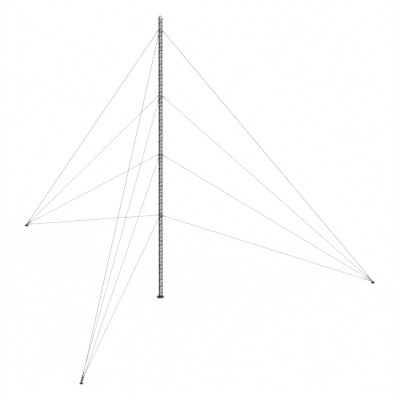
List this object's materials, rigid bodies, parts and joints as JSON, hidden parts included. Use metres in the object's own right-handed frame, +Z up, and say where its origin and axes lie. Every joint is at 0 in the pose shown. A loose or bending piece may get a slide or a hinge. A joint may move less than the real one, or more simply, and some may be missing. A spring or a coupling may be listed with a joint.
{
  "type": "guyed radio mast",
  "caption": "Slender triangular lattice mast on a base plate, stayed at several heights by wire guys that run down to ground anchors in three directions.",
  "frame": {"origin": "centre of the base plate's underside, on the mast's axis at ground level", "axes": "+Z up the mast; +X towards the east anchor; the other anchors are 120 and 240 degrees round from it"},
  "size_m": [32.1904, 37.1702, 30.44],
  "materials": {
    "mast_paint": "satin",
    "strand": "weathered",
    "fittings": "matt"
  },
  "bodies": {
    "root": {"anchor_foot_east": "fittings", "anchor_foot_north_west": "fittings", "anchor_foot_south_west": "fittings", "anchor_pins": "fittings", "anchor_spacers": "fittings", "base_plate": "mast_paint", "collar_pins": "fittings", "guy_1_east": "strand", "guy_1_north_west": "strand", "guy_1_south_west": "strand", "guy_2_east": "strand", "guy_2_north_west": "strand", "guy_2_south_west": "strand", "guy_3_east": "strand", "guy_3_north_west": "strand", "guy_3_south_west": "strand", "guy_4_east": "strand", "guy_4_north_west": "strand", "guy_4_south_west": "strand", "guy_collar_1": "mast_paint", "guy_collar_2": "mast_paint", "guy_collar_3": "mast_paint", "guy_collar_4": "mast_paint", "section_01": "mast_paint", "section_02": "mast_paint", "section_03": "mast_paint", "section_04": "mast_paint", "section_05": "mast_paint", "section_06": "mast_paint", "section_07": "mast_paint", "section_08": "mast_paint", "section_09": "mast_paint", "section_10": "mast_paint", "top_cap": "mast_paint", "turnbuckle_pins": "fittings", "turnbuckles_east": "fittings", "turnbuckles_north_west": "fittings", "turnbuckles_south_west": "fittings"}
  },
  "joints": []
}
